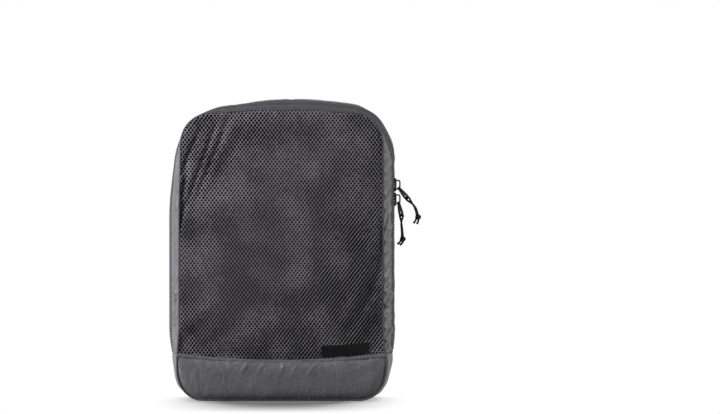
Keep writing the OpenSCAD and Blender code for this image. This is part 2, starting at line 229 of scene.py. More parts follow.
def nylon_material(name, colour, roughness):
    """Coated nylon: fine plain weave, long thin creases, slightly uneven dye and shine."""
    mat = new_material(name, colour, roughness, Sheen_Weight=0.04, Sheen_Roughness=0.4)
    shader(mat)["Specular IOR Level"].default_value = 0.3
    place = uv_place(mat)
    grain = mixed_noise(mat, place, (38, 4, 0.4), (430, 2, 0.6))
    dye = ramp(mat, grain, tinted(colour, 0.72), tinted(colour, 1.28))
    join(mat, dye, shader(mat)["Base Color"])
    rough = mapped(mat, noise_of(mat, place, 160, 3), To_Min=roughness - 0.07,
                   To_Max=roughness + 0.1)
    join(mat, rough, shader(mat)["Roughness"])
    soft = bump(mat, noise_of(mat, place, 34, 3), 2.6 * MM, 0.5)
    long = bump(mat, creases_of(mat, place, 0.6, 30 * MM), 0.35 * MM, 0.5, soft)
    short = bump(mat, creases_of(mat, place, -0.95, 14 * MM), 0.2 * MM, 0.5, long)
    crinkle = bump(mat, noise_of(mat, place, 210, 4, 0.6), 0.5 * MM, 0.5, short)
    weave = bump(mat, weave_of(mat, place, 0.6 * MM), 0.05 * MM, 0.5, crinkle)
    join(mat, weave, shader(mat)["Normal"])
    return mat


def woven_material(name, colour, pitch, depth, roughness=0.75, ribs=0):
    """Tight woven tape, binding, label or thread with a matt face. ribs is the pitch of the
    raised lines that run along a tape."""
    mat = new_material(name, colour, roughness, Sheen_Weight=0.02)
    shader(mat)["Specular IOR Level"].default_value = 0.12
    place = uv_place(mat)
    join(mat, ramp(mat, noise_of(mat, place, 300, 2), tinted(colour, 0.8), tinted(colour, 1.2)),
         shader(mat)["Base Color"])
    surface = bump(mat, weave_of(mat, place, pitch), depth, 0.8)
    if ribs:
        wave = add_node(mat, "ShaderNodeTexWave", bands_direction="Y", Scale=0.314 / ribs)
        join(mat, place, wave.inputs["Vector"])
        surface = bump(mat, wave.outputs["Fac"], 0.5 * MM, 0.9, surface)
    join(mat, surface, shader(mat)["Normal"])
    return mat


def knit_material():
    """Polyester threads of the mesh, with painted shade: their colour is full along their backs and
    runs to near black where they turn down into the openings, standing in for the shade there."""
    colour = (0.248, 0.233, 0.267)
    mat = new_material("knitted mesh", colour, 0.55)
    shader(mat)["Specular IOR Level"].default_value = 0.15
    place = object_place(mat)
    uneven = mixed_noise(mat, place, (24, 4, 0.55), (330, 2, 0.45))
    dye = ramp(mat, uneven, tinted(colour, 0.7), tinted(colour, 1.3))
    back = add_node(mat, "ShaderNodeAttribute", attribute_name="thread_back").outputs["Fac"]
    shade = add_node(mat, "ShaderNodeMix", data_type="RGBA")
    join(mat, math_of(mat, "POWER", back, 1.3), shade.inputs["Factor"])
    # painted shade: the near-black colour at the rims of the openings
    shade.inputs[6].default_value = (0.014, 0.0135, 0.0145, 1)
    join(mat, dye, shade.inputs[7])
    join(mat, shade.outputs[2], shader(mat)["Base Color"])
    twist = noise_of(mat, place, 2600, 1)
    join(mat, bump(mat, twist, 0.12 * MM, 0.6), shader(mat)["Normal"])
    return mat


def enamel_material():
    """Black enamelled zinc with rubbed, slightly brighter patches."""
    mat = new_material("black enamel", (0.012, 0.012, 0.013), 0.48)
    shader(mat)["Specular IOR Level"].default_value = 0.2
    place = object_place(mat)
    join(mat, ramp(mat, noise_of(mat, place, 420, 4), (0.009, 0.009, 0.0095),
                   (0.028, 0.028, 0.029), 0.5, 0.75), shader(mat)["Base Color"])
    join(mat, bump(mat, noise_of(mat, place, 900, 2), 0.05 * MM, 0.4), shader(mat)["Normal"])
    return mat


def cord_material():
    """Braided polyester cord: crossing diagonal strands."""
    colour = (0.009, 0.009, 0.0095)
    mat = new_material("braided cord", colour, 0.7)
    shader(mat)["Specular IOR Level"].default_value = 0.12
    place = object_place(mat)
    join(mat, ramp(mat, noise_of(mat, place, 900, 2), tinted(colour, 0.7), tinted(colour, 1.6)),
         shader(mat)["Base Color"])
    strands = []
    for turn in (0.7, -0.7):
        spun = add_node(mat, "ShaderNodeMapping", Rotation=(0, turn, 0))
        join(mat, place, spun.inputs["Vector"])
        wave = add_node(mat, "ShaderNodeTexWave", bands_direction="Z", Scale=330)
        join(mat, spun.outputs["Vector"], wave.inputs["Vector"])
        strands.append(wave.outputs["Fac"])
    join(mat, bump(mat, math_of(mat, "MAXIMUM", *strands), 0.16 * MM, 0.9), shader(mat)["Normal"])
    return mat


def plastic_material():
    """Polyester monofilament of the zip's coil."""
    mat = new_material("coil monofilament", (0.03, 0.03, 0.032), 0.34)
    place = object_place(mat)
    join(mat, bump(mat, noise_of(mat, place, 1500, 2), 0.03 * MM, 0.4), shader(mat)["Normal"])
    return mat


NYLON = nylon_material("grey coated nylon", (0.098, 0.095, 0.102), 0.41)
# The cloth's inside, near black: painted shade, so that the inside looks dark through the mesh
SHADE_PAINTED_INSIDE = nylon_material("inside painted dark as shade", (0.012, 0.012, 0.0125), 0.6)
TAPE = woven_material("zip tape", (0.082, 0.079, 0.086), 0.9 * MM, 0.2 * MM, ribs=2.4 * MM)
BINDING = woven_material("binding", (0.08, 0.078, 0.085), 0.9 * MM, 0.1 * MM)
LABEL = woven_material("woven label", (0.005, 0.005, 0.0055), 0.5 * MM, 0.03 * MM, 0.7)
THREAD = woven_material("sewing thread", (0.05, 0.05, 0.053), 0.3 * MM, 0.05 * MM, 0.5)
MESH = knit_material()
ENAMEL = enamel_material()
CORD = cord_material()
COIL = plastic_material()


# ------------------------------------------------------------------ the outline
# A station is (x, z, nx, nz): a point of the widest outline with its normal.
def side_line(z0, z1, step):
    return [(HALF_W - taper(z), z, 1.0, 0.0) for z in spaced(z0, z1, step)]


def taper(z):
    """How far the sides draw in towards the base."""
    return BASE_TAPER * (1 - smooth((z - TAPER[0]) / (TAPER[1] - TAPER[0])))


def spaced(start, end, step):
    """Even values from start up to, but without, end."""
    n = max(1, round(abs(end - start) / step))
    return [start + (end - start) * i / n for i in range(n)]


def arc_line(cx, cz, r, a0, a1, step):
    return [(cx + r * math.cos(a), cz + r * math.sin(a), math.cos(a), math.sin(a))
            for a in spaced(a0, a1, step / r)]


def mirrored(path):
    return [(-x, z, -nx, nz) for x, z, nx, nz in reversed(path)]


def upper_path(start, step):
    """From the right zip end up, over the crown and down to the left zip end."""
    half = (side_line(start, CORNER_Z, step)
            + arc_line(CORNER_X, CORNER_Z, TOP_R, 0, CORNER_TURN, step)
            + arc_line(0, CROWN_Z, CROWN_R, CORNER_TURN, math.pi / 2, step))
    return np.array(half + [(0, BODY_H, 0, 1)] + mirrored(half))


def lower_path(end, step):
    """From the left seam end down, along the base and up to the right seam end."""
    corner = arc_line(HALF_W - BASE_R, BASE_R, BASE_R, -math.pi / 2, 0, step)
    half = ([(x, 0, 0, -1) for x in spaced(0, HALF_W - BASE_TAPER - BASE_R, step)][1:]
            + [(x - taper(z), z, nx, nz) for x, z, nx, nz in corner]
            + side_line(BASE_R, end, step) + [(HALF_W - taper(end), end, 1, 0)])
    return np.array(mirrored(half) + [(0, 0, 0, -1)] + half)


def smooth(t):
    u = np.clip(t, 0, 1)
    return u * u * (3 - 2 * u)


def rim_inset(z):
    """How far the side cloth draws in at the front and back seams."""
    return BASE_INSET + (FACE_INSET - BASE_INSET) * smooth((z - WAIST[0]) / (WAIST[1] - WAIST[0]))


def depth_share(y):
    """0 where the side cloth is level, 1 at the seams."""
    return (np.maximum(0, np.abs(y) - FLAT_Y) / (RIM_Y - FLAT_Y)) ** 1.6


def on_side(stations, y, under=0.0):
    """Points of the side cloth at depth y, under its outer face by the given amount."""
    x, z, nx, nz = stations.T
    share = depth_share(y)
    shoulder = 2 * np.abs(nx) * np.maximum(0, nz)
    corner_draw = 1 - CORNER_SPREAD * shoulder ** np.where(nz > 0.7, 1, 2)
    inset = rim_inset(z) * corner_draw * share
    across = x - (inset + under) * nx
    up = z - inset * np.maximum(0, nz) - under * nz
    dx, dz = slump(across, up)
    return np.stack([across + dx * (1 - 0.75 * share), y + 0 * x, up + dz * (1 - share)], axis=-1)


# Where the load pushes the sides out: height, reach and depth in mm.
LOW_BULGE = (13, 9, 2.4)
HIP_BULGE = (42, 14, 2.0)


def bulge(z, height, reach, depth):
    return depth * np.exp(-((z / MM - height) / reach) ** 2)


def slump(x, z):
    """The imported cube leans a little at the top: its left shoulder sags inwards and down,
    and its right one stands fuller. Its weight spreads both sides just above the floor,
    and the right one again over its hip."""
    right = smooth((x + 60 * MM) / (120 * MM))
    start, length = 196 * MM + 86 * MM * right, 90 * MM - 52 * MM * right
    aside = (7.5 - 1.5 * right) * MM * smooth((z - start) / length)
    down = 2.2 * MM * (1 - right) * smooth((z - 290 * MM) / (20 * MM)) * smooth(-x / (60 * MM))
    spread = bulge(z, *LOW_BULGE) * np.sign(x) + bulge(z, *HIP_BULGE) * right
    return aside + spread * MM, -down


def zip_y(z):
    """The depth of the zip's slot at a height: it leans to the front at the shoulders."""
    return ZIP_Y - WEDGE_W * smooth((z - LEAN[0]) / (LEAN[1] - LEAN[0]))


# ------------------------------------------------------------------ meshes
def make_object(name, points, faces, uvs, material):
    """A mesh object at the origin. uvs holds one (u, v) per point, in metres of cloth."""
    data = bpy.data.meshes.new(name)
    data.from_pydata([tuple(p) for p in points], [], faces)
    data.uv_layers.new(name="cloth")
    set_uvs(data, uvs)
    data.polygons.foreach_set("use_smooth", [True] * len(data.polygons))
    data.materials.append(material)
    obj = bpy.data.objects.new(name, data)
    bpy.context.scene.collection.objects.link(obj)
    return obj


def set_uvs(data, uvs):
    loops = np.empty(len(data.loops), dtype=np.int32)
    data.loops.foreach_get("vertex_index", loops)
    data.uv_layers["cloth"].data.foreach_set("uv", np.asarray(uvs, dtype=np.float32)[loops].ravel())


def run_lengths(points):
    """How far along a line each of its points lies."""
    steps = np.linalg.norm(np.diff(points, axis=0), axis=1)
    return np.concatenate([[0], np.cumsum(steps)])


def read_along(at, marks, rows):
    """Rows of numbers that belong to marks on a line, read at other places on it."""
    return np.stack([np.interp(at, marks, rows[:, k]) for k in range(rows.shape[1])], axis=-1)


def grid_object(name, grid, material):
    """Skins a grid of points, its faces outwards. Rows run along the piece."""
    rows, cols = grid.shape[:2]
    along = run_lengths(grid[:, cols // 2])
    across = run_lengths(grid[rows // 2])
    uvs = [(along[i], across[j]) for i in range(rows) for j in range(cols)]
    faces = [(i * cols + j, (i + 1) * cols + j, (i + 1) * cols + j + 1, i * cols + j + 1)
             for i in range(rows - 1) for j in range(cols - 1)]
    obj = make_object(name, grid.reshape(-1, 3), faces, uvs, material)
    face_out(obj)
    return obj


def face_out(obj):
    """Turns a shell's faces so that they point away from the middle of the cube."""
    middle = Vector((0, 0, BODY_H / 2))
    lean = sum(p.area * p.normal.dot(p.center - middle) for p in obj.data.polygons)
    if lean < 0:
        obj.data.flip_normals()


def point_values(obj, name):
    values = np.empty(len(obj.data.vertices) * 3, dtype=np.float32)
    obj.data.vertices.foreach_get(name, values)
    return values.reshape(-1, 3).astype(float)


def coordinates(obj):
    return point_values(obj, "co")


def normals(obj):
    return point_values(obj, "normal")


def set_coordinates(obj, co):
    obj.data.vertices.foreach_set("co", np.asarray(co, dtype=np.float32).ravel())
    obj.data.update()


def border_points(obj):
    """The points on the open edges of a mesh."""
    uses = {}
    for poly in obj.data.polygons:
        for key in poly.edge_keys:
            uses[key] = uses.get(key, 0) + 1
    return sorted({v for key, count in uses.items() if count == 1 for v in key})


def apply(obj, kind, **values):
    """Adds one modifier and applies it."""
    mod = obj.modifiers.new("step", kind)
    for key, value in values.items():
        setattr(mod, key, value)
    bpy.ops.object.select_all(action="DESELECT")
    bpy.context.view_layer.objects.active = obj
    obj.select_set(True)
    bpy.ops.object.modifier_apply(modifier=mod.name)
    obj.select_set(False)


CLOTH_FRAMES = 22
CLOTH_STIFFNESS = 6.0


def fill_out(obj, pressure, slack, cap):
    """Cloth simulation: the piece has more cloth than its edge spans, so it swells and
    wrinkles. Its edge is sewn down, and no point moves further than the cap."""
    rest = coordinates(obj)
    group = obj.vertex_groups.new(name="sewn")
    group.add(border_points(obj), 1, "REPLACE")
    mod = obj.modifiers.new("cloth", "CLOTH")
    cloth = mod.settings
    cloth.quality = 6
    cloth.mass = 0.08
    cloth.tension_stiffness = cloth.compression_stiffness = CLOTH_STIFFNESS
    cloth.shear_stiffness = CLOTH_STIFFNESS * 0.4
    cloth.bending_stiffness = 0.02
    cloth.vertex_group_mass = "sewn"
    cloth.shrink_min = -slack
    cloth.use_pressure = True
    cloth.uniform_pressure_force = pressure
    cloth.effector_weights.gravity = 0
    mod.collision_settings.use_collision = False
    scene = bpy.context.scene
    mod.point_cache.frame_start = 1
    mod.point_cache.frame_end = CLOTH_FRAMES
    for frame_no in range(1, CLOTH_FRAMES + 1):
        scene.frame_set(frame_no)
    shaped = obj.evaluated_get(bpy.context.evaluated_depsgraph_get())
    moved = coordinates(shaped) - rest
    obj.modifiers.remove(mod)
    obj.vertex_groups.remove(group)
    scene.frame_set(1)
    far = np.maximum(np.linalg.norm(moved, axis=1, keepdims=True), 1e-9)
    set_coordinates(obj, rest + moved * (cap * np.tanh(far / cap) / far))


def crease(obj, amount, size, seed, stretch=(1, 1, 1)):
    """Uneven fullness: moves the points in and out by smooth noise, not at the edges."""
    co, n = coordinates(obj), normals(obj)
    keep = np.ones(len(co))
    keep[border_points(obj)] = 0
    push = [noise.noise(Vector((p[0] * stretch[0], p[1] * stretch[1], p[2] * stretch[2])) / size
                        + Vector((seed, 0, 0))) for p in co]
    set_coordinates(obj, co + n * (np.array(push) * keep * amount)[:, None])


def folds(obj, across, spacing, depth, seed, patch=0.03, least=0.0):
    """Soft ridges in the cloth. across points from ridge to ridge; the ridges wander, are
    in places down to their least share, and die out towards the sewn edges."""
    co, n = coordinates(obj), normals(obj)
    keep = away_from_seams(co, border_points(obj))
    across = Vector(across).normalized()
    height = []
    for p in co:
        v = Vector(p)
        wander = noise.noise(v / patch + Vector((seed, 2, 0)))
        wave = 0.5 + 0.5 * math.sin(2 * math.pi * (v.dot(across) / spacing + 0.9 * wander))
        amount = float(smooth(noise.noise(v / patch + Vector((0, seed, 5))) / 0.5 + 0.55))
        height.append((wave ** 1.4 - 0.42) * (least + (1 - least) * amount))
    set_coordinates(obj, co + n * (np.array(height) * keep * depth)[:, None])


def away_from_seams(co, border, reach=2.2 * MM):
    """0 at the sewn edges of a piece, 1 further in than the reach."""
    far = np.full(len(co), 1e9)
    for k in border:
        far = np.minimum(far, np.linalg.norm(co - co[k], axis=1))
    return smooth(far / reach)


def finish_cloth(obj, body, nodes, thickness=0.5 * MM):
    """Smooths the cloth, gives it its thickness inwards, and hangs it on its body."""
    apply(obj, "SUBSURF", levels=1, render_levels=1)
    # The inside faces take the near-black inside colour: painted shade for the dark seen through
    # the mesh
    obj.data.materials.append(SHADE_PAINTED_INSIDE)
    apply(obj, "SOLIDIFY", thickness=thickness, offset=-1, material_offset=1)
    dress(obj, body, nodes)


def dress(obj, body, nodes=()):
    """Lets a piece ride on its body, if it has one, in place of the frame's own nodes."""
    if body:
        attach(obj, body)
    if nodes:
        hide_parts(*nodes)


# ------------------------------------------------------------------ cloth pieces
def resample(points, n):
    """n points at even spacing along a line of points."""
    points = np.asarray(points, dtype=float)
    marks = run_lengths(points)
    return read_along(np.linspace(0, marks[-1], n), marks, points)


def strip_grid(stations, from_y, to_y, columns, under=0.0):
    """A strip of side cloth, from one depth to another at every station."""
    shares = np.linspace(0, 1, columns)
    return np.stack([on_side(stations, from_y + (to_y - from_y) * s, under) for s in shares],
                    axis=1)


def between_edges(bottom, right, top, left):
    """A grid of points between four edges; bottom and top run the same way."""
    u = np.linspace(0, 1, len(bottom))[None, :, None]
    v = np.linspace(0, 1, len(left))[:, None, None]
    corners = ((1 - u) * (1 - v) * bottom[0] + u * (1 - v) * bottom[-1]
               + (1 - u) * v * top[0] + u * v * top[-1])
    return ((1 - v) * bottom[None] + v * top[None]
            + (1 - u) * left[:, None] + u * right[:, None] - corners)


def face_edge(stations):
    return on_side(stations, RIM_Y)[:, [0, 2]]


def seam_line(n):
    xs = np.linspace(-SEAM_X, SEAM_X, n)
    return np.stack([xs, seam_z(xs)], axis=-1)


def dome(columns, rows, fullness):
    """1 in the middle of a panel and 0 at its seams, flat just inside them."""
    a = np.abs(np.linspace(-1, 1, columns))[None, :]
    b = np.abs(np.linspace(-1, 1, rows))[:, None]
    share = (a ** 4 + b ** 4) ** 0.25 / 0.975
    return 1 - np.minimum(1, share) ** fullness


def crowned(flat, face_y, bulge, fullness=2):
    """Gives a flat panel grid its depth; a negative face_y is the front. The higher the
    fullness, the closer to the seams the cloth turns."""
    rows, columns = flat.shape[:2]
    y = face_y + math.copysign(bulge, face_y) * dome(columns, rows, fullness)
    return np.stack([flat[..., 0], y, flat[..., 1]], axis=-1)


def upper_face_edges():
    """The right side, the crown from left to right, and the left side of a face."""
    edge = face_edge(upper_path(SEAM_H, 2 * MM))
    turn = CORNER_TURN / 2
    knee = np.array([CORNER_X + TOP_R * math.cos(turn), CORNER_Z + TOP_R * math.sin(turn)])
    k = int(np.argmin(np.linalg.norm(edge - knee, axis=1)))
    last = len(edge) - k
    return edge[:k + 1], edge[k:last][::-1], edge[last - 1:][::-1]


def mesh_flat(columns, rows):
    right, top, left = upper_face_edges()
    return between_edges(seam_line(columns), resample(right, rows), resample(top, columns),
                         resample(left, rows))


def back_flat(columns, rows):
    right, top, left = upper_face_edges()
    base = face_edge(lower_path(SEAM_H, 2 * MM))
    turn = -math.pi / 4
    knee = np.array([HALF_W - BASE_TAPER - BASE_R, BASE_R]) \
        + BASE_R * np.array([math.cos(turn), math.sin(turn)])
    k = int(np.argmin(np.linalg.norm(base - knee, axis=1)))
    corner = base[k:]
    right = resample(np.concatenate([corner, right[1:]]), rows)
    left = resample(np.concatenate([corner * (-1, 1), left[1:]]), rows)
    bottom = resample(base[len(base) - 1 - k:k + 1], columns)
    return between_edges(bottom, right, resample(top, columns), left)


def band_flat(columns, rows):
    base = resample(face_edge(lower_path(SEAM_H, 2 * MM)), columns)
    v = np.linspace(0, 1, rows)[:, None, None]
    return (1 - v) * base[None] + v * seam_line(columns)[None]


SEAM_X = HALF_W - float(taper(SEAM_H)) - float(rim_inset(SEAM_H))


def seam_z(x):
    return SEAM_H - SEAM_DIP * (1 - (x / SEAM_X) ** 2)


def flat_uvs(obj):
    """Cloth coordinates taken straight from the flat panel: x and z."""
    set_uvs(obj.data, coordinates(obj)[:, [0, 2]])


def make_back_panel():
    grid = crowned(back_flat(80, 104), RIM_Y, BACK_BULGE)
    panel = grid_object("back_cloth", grid, NYLON)
    flat_uvs(panel)
    crease(panel, 1.2 * MM, 0.05, 3, (1.3, 1, 0.7))
    folds(panel, (1, 0, 0.7), 21 * MM, 1.5 * MM, 4, patch=0.05)
    folds(panel, (-1, 0, 0.45), 34 * MM, 1.2 * MM, 7, patch=0.06)
    fill_out(panel, 1.2, 0.012, cap=3.5 * MM)
    finish_cloth(panel, "tub", ["back_panel"])


def make_back_gusset():
    stations = upper_path(SEAM_H, 3 * MM)
    inner = zip_y(stations[:, 1]) + SLOT_W / 2 + TAPE_W
    grid = strip_grid(stations, inner, RIM_Y, 18)
    gusset = grid_object("back_gusset_cloth", grid, NYLON)
    fill_out(gusset, 2.0, 0.02, cap=1.4 * MM)
    folds(gusset, (0.15, 1, 0.15), 12 * MM, 1.2 * MM, 11, patch=0.06)
    finish_cloth(gusset, "tub", ["back_gusset"])


def make_bottom_gusset():
    stations = lower_path(SEAM_H, 4 * MM)
    grid = strip_grid(stations, -RIM_Y, RIM_Y, 21)
    gusset = grid_object("bottom_gusset_cloth", grid, NYLON)
    fill_out(gusset, 1.2, 0.02, cap=1.6 * MM)
    folds(gusset, (0, 1, 0.25), 12 * MM, 1.2 * MM, 14, patch=0.05)
    co = coordinates(gusset)
    co[:, 2] = np.maximum(co[:, 2], 0.2 * MM)
    set_coordinates(gusset, co)
    finish_cloth(gusset, "tub", ["bottom_gusset"])


def make_turned_ends():
    """The bottom gusset's two ends, turned in behind the seams where the sides begin, so
    that no light comes through them."""
    heights = np.linspace(SEAM_H - 3 * MM, FOLD_Z + 1.2 * MM, 5)
    from_rim = 0.6 * MM
    for side, name in ((-1, "left"), (1, "right")):
        stations = np.array([(side * (HALF_W - taper(z)), z, side, 0) for z in heights])
        strip = strip_grid(stations, from_rim - RIM_Y, RIM_Y - from_rim, 24, 0.95 * MM)
        # They take the near-black inside colour: painted shade
        end = grid_object(name + "_turned_end", strip, SHADE_PAINTED_INSIDE)
        apply(end, "SOLIDIFY", thickness=0.35 * MM, offset=-1)
        dress(end, "tub")


def make_front_band():
    flat = band_flat(170, 28)
    band = grid_object("front_band_cloth", crowned(flat, -RIM_Y, BAND_BULGE, 5), NYLON)
    flat_uvs(band)
    fill_out(band, 1.5, 0.004, cap=0.7 * MM)
    folds(band, (-0.6, 0, 1), 14 * MM, 0.25 * MM, 6, patch=0.035)
    pucker(band)
    finish_cloth(band, "tub", ["front_band"])


# Creases that run down from the band's seam: place along it, slant, width and depth, in mm.
BAND_CREASES = (
    (-34, -0.55, 1.8, 1.1), (-17, -0.55, 1.6, 0.9), (4, -0.3, 1.3, 0.9),
    (18, -0.4, 1.4, 0.9), (40, -0.75, 1.9, 1.1), (-92, 1.1, 3.0, 0.8))


def pucker(band):
    """The seam gathers the top of the band into small slanting puckers and a few creases."""
    co = coordinates(band)
    drop = seam_z(co[:, 0]) - co[:, 2]
    push = []
    for (x, _, z), below in zip(co, drop):
        reach = (3 + 4 * (0.5 + noise.noise(Vector((x * 24, 8, 2))))) * MM
        ridge = abs(noise.noise(Vector(((x + 0.45 * z) * 105, z * 26, 9))))
        push.append(max(0, 1 - 3.2 * ridge) * math.exp(-below / reach))
    co[:, 1] -= np.array(push) * smooth(drop / (3 * MM)) * 1.5 * MM
    for x0, lean, width, depth in BAND_CREASES:
        off = (co[:, 0] - x0 * MM - lean * drop) / (width * MM)
        run = smooth((drop - 2 * MM) / (3 * MM)) * smooth((19 * MM - drop) / (12 * MM))
        co[:, 1] -= depth * MM * run * np.exp(-off ** 2)
    set_coordinates(band, co)


# The turned edge from below the seam to above it: height and how proud it stands, in mm.
BAND_EDGE = ((-3.7, -0.7), (-3.2, 0.8), (-2.2, 0.6), (-1.1, 0.5), (-0.1, 0.5), (0.6, 0.3),
             (0.9, -0.9))


def make_band_fold():
    """The turned top edge of the band, laid over the mesh and sewn down."""
    xs = np.linspace(-SEAM_X + 0.5 * MM, SEAM_X - 0.5 * MM, 170)
    rows = []
    for v, out in BAND_EDGE:
        lift = np.array([noise.noise(Vector((x * 130, v * 0.25, 1))) for x in xs])
        rows.append(np.stack([xs, -RIM_Y - (0.9 + out + 0.3 * lift) * MM,
                              seam_z(xs) + (v + 0.25 * lift) * MM], axis=-1))
    grid = np.stack(rows, axis=1)
    fold = grid_object("band_fold", grid, NYLON)
    flat_uvs(fold)
    sewn = stitches("band_stitches", grid[:, 2] - (0, 0.1 * MM, 0),
                    np.tile([0, -1.0, 0], (len(xs), 1)), 2.8 * MM, THREAD, radius=0.22 * MM)
    finish_cloth(fold, "tub", [], thickness=0.45 * MM)
    dress(sewn, "tub")


def make_front_gusset(side, name):
    """The grey wedge between mesh and zip, which narrows to a point at the corner."""
    stations = np.array([s for s in upper_path(FOLD_Z, 2 * MM) if s[0] * side > 0
                         and zip_y(s[1]) - SLOT_W / 2 - TAPE_W > 0.6 * MM - RIM_Y])
    outer = zip_y(stations[:, 1]) - SLOT_W / 2 - TAPE_W
    gusset = grid_object(name + "_cloth", strip_grid(stations, -RIM_Y, outer, 13), NYLON)
    fill_out(gusset, 2.5, 0.03, cap=1.6 * MM)
    if side > 0:
        folds(gusset, (0, -1.25, 1), 8.5 * MM, 4.3 * MM, 20, patch=0.05, least=0.5)
        folds(gusset, (0, -0.9, 1), 17 * MM, 2.8 * MM, 21, patch=0.05)
    else:
        folds(gusset, (0, 1, 0.12), 7 * MM, 1.3 * MM, 24, patch=0.08)
        folds(gusset, (0, -0.7, 1), 19 * MM, 0.8 * MM, 25, patch=0.06)
    finish_cloth(gusset, None, [name])
    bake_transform(gusset)


# ------------------------------------------------------------------ the mesh panel
CELL_W = 3.9 * MM
CELL_ROW = 2.56 * MM
CELL_SHOULDER = 0.55 * MM
HOLE_W = 1.06 * MM
HOLE_H = 1.5 * MM
THREAD_T = 0.5 * MM
HOLE_SHAPE = ((1, 0.45), (0, 1), (-1, 0.45), (-1, -0.45), (0, -1), (1, -0.45))
# Where the stretched mesh is pulled into a fold: from (x, z) to (x, z), width and depth, in mm.
PULLS = (
    (-54, 305, -97, 200, 3.2, 2.3), (-66, 302, -110, 182, 2.8, 2.6),
    (-84, 293, -111, 232, 2.4, 2.0), (-34, 304, -70, 232, 5.0, 1.2),
    (-98, 262, -111, 170, 3.0, 2.4), (111, 156, 66, 64, 5.0, 1.8),
    (112, 190, 86, 96, 5.0, 1.8), (-108, 60, -60, 100, 6.0, 1.6),
    (58, 302, 108, 232, 5.0, 1.4))


def settled_mesh_sheet():
    """The cloth that the lattice of threads is then laid on."""
    grid = crowned(mesh_flat(64, 76), -RIM_Y, MESH_BULGE)
    sheet = grid_object("mesh_sheet", grid, MESH)
    crease(sheet, 1.2 * MM, 0.045, 31, (1, 1, 0.75))
    fill_out(sheet, 1.0, 0.010, cap=3 * MM)
    apply(sheet, "SUBSURF", levels=1, render_levels=1)
    co = coordinates(sheet)
    for pull in PULLS:
        co[:, 1] += pulled_in(co[:, 0], co[:, 2], *(v * MM for v in pull))
    set_coordinates(sheet, co)
    return sheet


def pulled_in(x, z, x0, z0, x1, z1, width, depth):
    """A valley along a line, deepest in its middle, with a low ridge on either side."""
    along = np.array([x1 - x0, z1 - z0])
    length = np.linalg.norm(along)
    t = ((x - x0) * along[0] + (z - z0) * along[1]) / length ** 2
    off = ((x - x0) * along[1] - (z - z0) * along[0]) / length / width
    ends = smooth((t + 0.05) / 0.3) * smooth((1.05 - t) / 0.3)
    return depth * ends * (np.exp(-off ** 2) - 0.3 * np.exp(-((np.abs(off) - 1.9) / 0.8) ** 2))


class Front:
    """Reads how far forward the settled sheet lies at a place."""

    def __init__(self, sheet):
        co = coordinates(sheet)
        polygons = [tuple(p.vertices) for p in sheet.data.polygons]
        self.tree = BVHTree.FromPolygons([tuple(p) for p in co], polygons)

    def y(self, x, z):
        hit = self.tree.ray_cast(Vector((x, -0.5, z)), Vector((0, 1, 0)))[0]
        if hit is None:
            hit = self.tree.find_nearest(Vector((x, -RIM_Y, z)))[0]
        return hit.y


def mesh_outline():
    edge = face_edge(upper_path(SEAM_H, 3 * MM))
    return np.concatenate([edge, seam_line(60)[1:-1]])


def inside_and_nearest(points, outline):
    """Whether each point is inside the outline, its distance to it, and the nearest place."""
    a, b = outline, np.roll(outline, -1, axis=0)
    inside = np.zeros(len(points), dtype=bool)
    best = np.full(len(points), 1e9)
    nearest = np.zeros_like(points)
    x, z = points.T
    for p, q in zip(a, b):
        step = q - p
        share = np.clip(((points - p) @ step) / (step @ step), 0, 1)
        spot = p + share[:, None] * step
        far = np.linalg.norm(points - spot, axis=1)
        closer = far < best
        best[closer] = far[closer]
        nearest[closer] = spot[closer]
        if p[1] != q[1]:
            crosses = (p[1] > z) != (q[1] > z)
            inside ^= crosses & (x < p[0] + (z - p[1]) * step[0] / step[1])
    return inside, best, nearest


def lattice_cells(outline):
    """Column, row and distance to the hem of the cells that lie on the panel; every second
    row is shifted."""
    rows = range(int((SEAM_H - 10 * MM) / CELL_ROW), int(BODY_H / CELL_ROW) + 1)
    columns = range(-int(HALF_W / CELL_W) - 1, int(HALF_W / CELL_W) + 2)
    cells = [(2 * c + r % 2, r) for r in rows for c in columns]
    middles = np.array([(c * CELL_W / 2, r * CELL_ROW) for c, r in cells])
    inside, far, _ = inside_and_nearest(middles, outline)
    kept = inside & (far > 0.5 * MM)
    return [(*cell, reach) for cell, reach, keep in zip(cells, far, kept) if keep]


def cell_corners(c, r):
    """A cell's six corners, as half columns and micrometres of height, so that cells which
    share a corner name it alike."""
    low = round(CELL_SHOULDER / MM * 1000)
    shoulder = round((CELL_ROW - CELL_SHOULDER) / MM * 1000)
    middle = r * round(CELL_ROW / MM * 1000)
    return [(c + 1, middle + low), (c, middle + shoulder), (c - 1, middle + low),
            (c - 1, middle - low), (c, middle - shoulder), (c + 1, middle - low)]


def cell_hole(c, r, from_hem):
    """A cell's hole: uneven over the panel, narrow at the hem, and drawn askew towards the
    lower right corner, where the mesh is pulled."""
    x, z = c * CELL_W / 2, r * CELL_ROW
    patches = noise.noise(Vector((x * 30, 7, z * 30)))
    single = noise.noise(Vector((x * 900, 3, z * 900)))
    ease = 0.97 + 0.42 * patches + 0.24 * single
    ease = min(1.12, ease * (1.12 - 0.2 * z / BODY_H))
    ease *= 0.35 + 0.65 * float(smooth(from_hem / (3.4 * MM)))
    w, h = HOLE_W * ease, HOLE_H * ease
    lean = 0.32 * float(smooth((x + 30 * MM) / (100 * MM)) * smooth((250 * MM - z) / (90 * MM)))
    return [(x + dx * w + lean * dz * h, z + dz * h) for dx, dz in HOLE_SHAPE]


